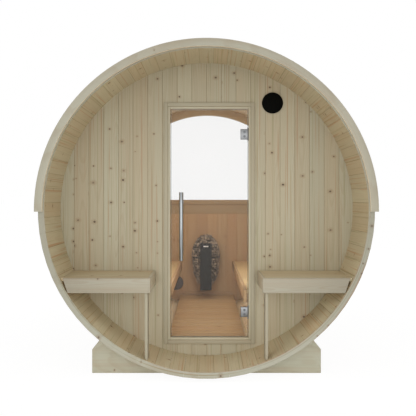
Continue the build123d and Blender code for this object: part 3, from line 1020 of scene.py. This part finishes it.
def makeGlassEdges():
    # The door's polished glass edges, which show where the clear pane ends when it stands open.
    low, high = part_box("door_glass")
    middle = (low + high) / 2
    wide = glassEdge["width"]
    strips = []
    for x, z, sizeX, sizeZ in (
        (low.x + wide / 2, middle.z, wide, high.z - low.z),
        (high.x - wide / 2, middle.z, wide, high.z - low.z),
        (middle.x, low.z + wide / 2, high.x - low.x - 2 * wide, wide),
        (middle.x, high.z - wide / 2, high.x - low.x - 2 * wide, wide),
    ):
        strip = makeBox("strip", (x, middle.y, z), (sizeX, high.y - low.y, sizeZ))
        selectFaces(strip, lambda face: True)
        bpy.ops.transform.shrink_fatten(value=glassEdge["proud"])
        objectMode()
        roundEdges(strip, glassEdge["rounded"], 1)
        strips.append(strip)
    dress(joinPieces(strips, "door_glass_edges"), finishes["glassEdge"], "door_glass", body="door")


hinges = {
    "right": 0.2942,
    "width": 0.049,
    "height": 0.069,
    "faces": (-0.835, -0.817),
    "glass": (-0.830, -0.822),
    "screwRadius": 0.0085,
    "screwHeight": 0.0026,
    "screwsApart": 0.031,
    "gasketLip": 0.0022,
    "gasketThickness": 0.0012,
    "gasketGap": 0.0001,
    "gasketRounded": 0.0003,
}


def makeScrew(radius, height):
    # A button head at the origin that faces -Y, with a socket in it.
    screw = makeCylinder("screw", 12, radius, height, (0, -height / 2, 0), True)
    selectFaces(screw, facesFront)
    bpy.ops.mesh.inset(thickness=radius * 0.22, depth=height * 0.25)
    bpy.ops.mesh.inset(thickness=radius * 0.33, depth=0)
    bpy.ops.mesh.extrude_region_move(TRANSFORM_OT_translate={"value": (0, height * 0.7, 0)})
    objectMode()
    return screw


def makeHingeDetails():
    # Two screws and a dark gasket for each plate that grips the glass.
    low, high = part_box("hinge_clamps")
    height = hinges["height"]
    lip = hinges["gasketLip"]
    thick = hinges["gasketThickness"]
    x = hinges["right"] - hinges["width"] / 2
    front, back = hinges["faces"]
    screw = makeScrew(hinges["screwRadius"], hinges["screwHeight"])
    screws = []
    gaskets = []
    for z in (low.z + height / 2, high.z - height / 2):
        for step in (-0.5, 0.5):
            place = z + step * hinges["screwsApart"]
            screws.append(copyTo(screw, (x, front, place)))
            screws.append(copyTo(screw, (x, back, place), (0, 0, math.pi)))
        for y, out in zip(hinges["glass"], (-1, 1)):
            place = (x - lip / 2, y + out * (thick / 2 + hinges["gasketGap"]), z)
            gasket = makeBox("gasket", place, (hinges["width"] + lip, thick, height + 2 * lip))
            roundEdges(gasket, hinges["gasketRounded"])
            gaskets.append(gasket)
    bpy.data.objects.remove(screw)
    dress(joinPieces(screws, "hinge_screws"), finishes["screwSteel"], "fitting_steel", body="door")
    dress(joinPieces(gaskets, "hinge_gaskets"), finishes["gasket"], "fitting_steel", body="door")


collars = {
    "radius": 0.0125,
    "thickness": 0.004,
    "fromSide": 0.015,
    "fromEnds": 0.070,
    "gap": 0.0002,
    "step": (0.0018, 0.0012),
    "rounded": 0.0004,
}


def makeHandleCollars():
    # A turned collar round each post, against the glass.
    low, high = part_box("door_handle")
    thick = collars["thickness"]
    x = low.x + collars["fromSide"]
    y = hinges["glass"][0] - collars["gap"] - thick / 2
    placed = []
    for z in (low.z + collars["fromEnds"], high.z - collars["fromEnds"]):
        collar = makeCylinder("collar", 40, collars["radius"], thick, (x, y, z), True)
        selectFaces(collar, facesFront)
        inward, forward = collars["step"]
        bpy.ops.mesh.inset(thickness=inward, depth=forward)
        objectMode()
        roundEdges(collar, collars["rounded"])
        placed.append(collar)
    dress(joinPieces(placed, "handle_collars"), finishes["handleSteel"], "fitting_steel", body="door")


skirting = {
    "halfWidth": 0.2805,
    "height": 0.038,
    "thickness": 0.012,
    "behind": 0.0003,
    "under": 0.0002,
    "rounded": 0.002,
}


def makeSkirting():
    # A low board along the foot of the back wall, between the benches.
    thick = skirting["thickness"]
    height = skirting["height"]
    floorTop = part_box("floor_slats")[1].z
    y = barrel["roomBackY"] - skirting["behind"] - thick / 2
    place = (0, y, floorTop + skirting["under"] + height / 2)
    board = makeBox("skirting_board", place, (2 * skirting["halfWidth"], thick, height))
    roundEdges(board, skirting["rounded"])
    dress(board, woods["skirtingWood"], "wall_wood")


bolts = {
    "places": (-1.160, 0.0, 1.160),
    "angle": math.radians(-50),
    "bandRadius": 1.0848,
    "lugHeight": 0.024,
    "lugWidth": 0.036,
    "lugThickness": 0.003,
    "lugsApart": 0.070,
    "lugTop": (0.001, 0.55),
    "rodRadius": 0.004,
    "rodPast": 0.034,
    "rodOut": 0.014,
    "nutRadius": 0.0075,
    "nutHeight": 0.006,
    "nutFromLug": 0.0046,
    "rounded": 0.0006,
    "rodEnd": 0.0008,
}


def makeBolt():
    # At the origin: two upturned lugs, a nut on either side of each, and the threaded rod.
    half = bolts["lugsApart"] / 2
    out = bolts["rodOut"]
    size = (bolts["lugHeight"], bolts["lugWidth"], bolts["lugThickness"])
    taller, narrower = bolts["lugTop"]
    placed = []
    for side in (-1, 1):
        lug = makeBox("lug", (size[0] / 2, 0, side * half), size)
        selectFaces(lug, lambda face: face.normal.x > 0.9)
        bpy.ops.mesh.extrude_region_move(TRANSFORM_OT_translate={"value": (taller, 0, 0)})
        bpy.ops.transform.resize(value=(1, narrower, 1))
        objectMode()
        roundEdges(lug, bolts["rounded"])
        placed.append(lug)
        for end in (-1, 1):
            z = side * half + end * bolts["nutFromLug"]
            nut = makeCylinder("nut", 6, bolts["nutRadius"], bolts["nutHeight"], (out, 0, z))
            roundEdges(nut, bolts["rounded"])
            placed.append(nut)
    length = bolts["lugsApart"] + bolts["rodPast"]
    rod = makeCylinder("rod", 16, bolts["rodRadius"], length, (out, 0, 0))
    selectFaces(rod, lambda face: abs(face.normal.z) > 0.9)
    bpy.ops.mesh.inset(thickness=bolts["rodEnd"], depth=bolts["rodEnd"])
    objectMode()
    placed.append(rod)
    return joinPieces(placed, "bolt")


def makeBandBolts():
    # Each hoop is drawn tight by a threaded rod between two upturned lugs.
    bolt = makeBolt()
    turn = bolts["angle"]
    x = bolts["bandRadius"] * math.cos(turn)
    z = barrel["axisZ"] + bolts["bandRadius"] * math.sin(turn)
    placed = [copyTo(bolt, (x, y, z), (0, -turn, 0)) for y in bolts["places"]]
    bpy.data.objects.remove(bolt)
    dress(joinPieces(placed, "band_bolts"), finishes["bandSteel"], "band_steel")


makeGlassEdges()
makeHingeDetails()
makeHandleCollars()
makeSkirting()
makeBandBolts()
print("small fittings made")


heater = {
    "halfWidth": 0.145,
    "layers": ((0.0115, 0.0235, 0.0100, 0.0205), (0.030, 0.034, 0.018, 0.024)),
    "stoneShapes": 6,
    "roughness": 0.16,
    "brokenFaces": 5,
    "brokenAt": (0.66, 0.86),
    "slack": 0.2,
    "columnRoom": 0.048,
    "bracketRoom": 0.070,
    "underTop": 0.004,
    "wires": 16,
    "wireRadius": 0.0013,
    "hoopLevels": (-0.62, -0.05, 0.55),
    "hoopThicker": 1.25,
    "smoothUnder": math.radians(60),
    "seed": 7,
}


def eggMiddle():
    # The middle of the heap at its widest level.
    low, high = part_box("heater_stones")
    z = high.z - stoneEgg["rise"] + heater["underTop"]
    return Vector(((low.x + high.x) / 2, high.y - heater["halfWidth"], z))


def makeStoneShapes(dice):
    # A few broken stones, each an icosphere knocked out of true and cut flat here and there.
    shapes = []
    for number in range(heater["stoneShapes"]):
        shape = addNew(bpy.ops.mesh.primitive_ico_sphere_add, subdivisions=2, radius=1.0, location=(0, 0, 0))
        shape.name = "stoneShape"
        editAll(shape)
        bpy.ops.transform.vertex_random(
            offset=heater["roughness"], uniform=0.0, normal=1.0, seed=heater["seed"] + number)
        for _ in range(heater["brokenFaces"]):
            facing = Vector((dice.uniform(-1, 1), dice.uniform(-1, 1), dice.uniform(-1, 1))).normalized()
            cutAt = facing * dice.uniform(*heater["brokenAt"])
            bpy.ops.mesh.select_all(action="SELECT")
            bpy.ops.mesh.bisect(plane_co=cutAt, plane_no=facing, clear_outer=True, use_fill=True)
        objectMode()
        shapes.append(shape)
    return shapes


def layerPlaces(dice, inset, spacing):
    # Places all over the egg at a depth under its surface, row by row from the top.
    slack = heater["slack"]
    turnDown = 0.0
    while turnDown < math.pi:
        tall = (stoneEgg["rise"] if turnDown < math.pi / 2 else stoneEgg["drop"]) - inset
        wide = heater["halfWidth"] - inset
        radius = wide * math.sin(turnDown)
        count = max(1, round(2 * math.pi * radius / spacing))
        start = dice.uniform(0, math.pi)
        for number in range(count):
            angle = start + (number + dice.uniform(-slack, slack)) * 2 * math.pi / count
            z = tall * math.cos(turnDown) + dice.uniform(-slack, slack) * spacing
            yield Vector((radius * math.cos(angle), radius * math.sin(angle), z))
        turnDown += spacing / math.hypot(tall * math.sin(turnDown), wide * math.cos(turnDown))


def makeStones():
    dice = random.Random(heater["seed"])
    middle = eggMiddle()
    shapes = makeStoneShapes(dice)
    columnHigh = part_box("heater_column")[1]
    bracketLow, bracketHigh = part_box("heater_bracket")
    placed = []
    for inset, spacing, smallest, largest in heater["layers"]:
        for offset in layerPlaces(dice, inset, spacing):
            place = middle + offset
            aside = abs(offset.x)
            inColumn = aside < heater["columnRoom"] and place.y < columnHigh.y and place.z < columnHigh.z
            level = bracketLow.z < place.z < bracketHigh.z
            inBracket = aside < heater["bracketRoom"] and place.y > bracketLow.y and level
            if inColumn or inBracket:
                continue
            size = dice.uniform(smallest, largest)
            stone = newObject("stone", dice.choice(shapes).data.copy())
            stone.location = place
            stone.rotation_euler = (dice.uniform(0, 6.28), dice.uniform(0, 6.28), dice.uniform(0, 6.28))
            stone.scale = (size, size * dice.uniform(0.72, 0.95), size * dice.uniform(0.62, 0.85))
            placed.append(stone)
    for shape in shapes:
        bpy.data.objects.remove(shape)
    select(*placed)
    bpy.ops.object.transform_apply(location=True, rotation=True, scale=True)
    print("stones:", len(placed))
    stones = joinPieces(placed, "heater_stone_heap")
    dress(stones, finishes["heaterStone"], "heater_stones", "heater_stones")


def makeWire(turn):
    # One closed wire round the heap through its top and bottom.
    inset = heater["wireRadius"]
    wire = addNew(
        bpy.ops.mesh.primitive_circle_add, vertices=48, radius=1.0, rotation=(math.radians(90), 0, 0))
    settle(wire, "wire")
    for sign, tall in ((1, stoneEgg["rise"]), (-1, stoneEgg["drop"])):
        for vertex in wire.data.vertices:
            vertex.select = sign * vertex.co.z > 0.001
        editMode()
        bpy.ops.mesh.select_mode(type="VERT")
        stretch = (1, 1, tall - heater["underTop"] - inset)
        bpy.ops.transform.resize(value=stretch, center_override=(0, 0, 0))
        deselectMesh()
        objectMode()
    wire.scale = (heater["halfWidth"] - inset, 1, 1)
    bpy.ops.object.transform_apply(location=False, rotation=False, scale=True)
    bpy.ops.object.convert(target="CURVE")
    wire = bpy.context.object
    wire.data.bevel_depth = inset
    wire.data.bevel_resolution = 0
    bpy.ops.object.convert(target="MESH")
    wire = bpy.context.object
    wire.rotation_euler = (0, 0, turn)
    wire.location = eggMiddle()
    settle(wire, "wire")
    return wire


def makeCage():
    # Thin wires from pole to pole and three hoops hold the stones.
    count = heater["wires"] // 2
    placed = [makeWire(math.pi * (number + 0.5) / count) for number in range(count)]
    for level in heater["hoopLevels"]:
        tall = stoneEgg["rise"] if level > 0 else stoneEgg["drop"]
        radius = (heater["halfWidth"] - heater["wireRadius"]) * math.sqrt(1 - level * level)
        hoop = addNew(
            bpy.ops.mesh.primitive_torus_add, location=eggMiddle() + Vector((0, 0, level * tall)),
            major_radius=radius, minor_radius=heater["wireRadius"] * heater["hoopThicker"],
            major_segments=48, minor_segments=6)
        settle(hoop, "wire")
        placed.append(hoop)
    cage = joinPieces(placed, "heater_cage")
    bpy.ops.object.shade_smooth_by_angle(angle=heater["smoothUnder"])
    dress(cage, finishes["wireBlack"], "heater_metal")


indicator = {
    "size": (0.050, 0.0016, 0.0125),
    "sunk": 0.0004,
    "fromTop": 0.021,
    "frame": (0.0009, -0.0003),
    "rounded": 0.0004,
}


def makeIndicator():
    # A small plain light near the top of the housing.
    low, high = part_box("heater_column")
    size = indicator["size"]
    y = low.y - size[1] / 2 + indicator["sunk"]
    light = makeBox("heater_indicator", ((low.x + high.x) / 2, y, high.z - indicator["fromTop"]), size)
    selectFaces(light, facesFront)
    inward, forward = indicator["frame"]
    bpy.ops.mesh.inset(thickness=inward, depth=forward)
    objectMode()
    roundEdges(light, indicator["rounded"])
    dress(light, finishes["indicator"], "heater_metal")


makeStones()
makeCage()
makeIndicator()
print("heater made")

print("done")
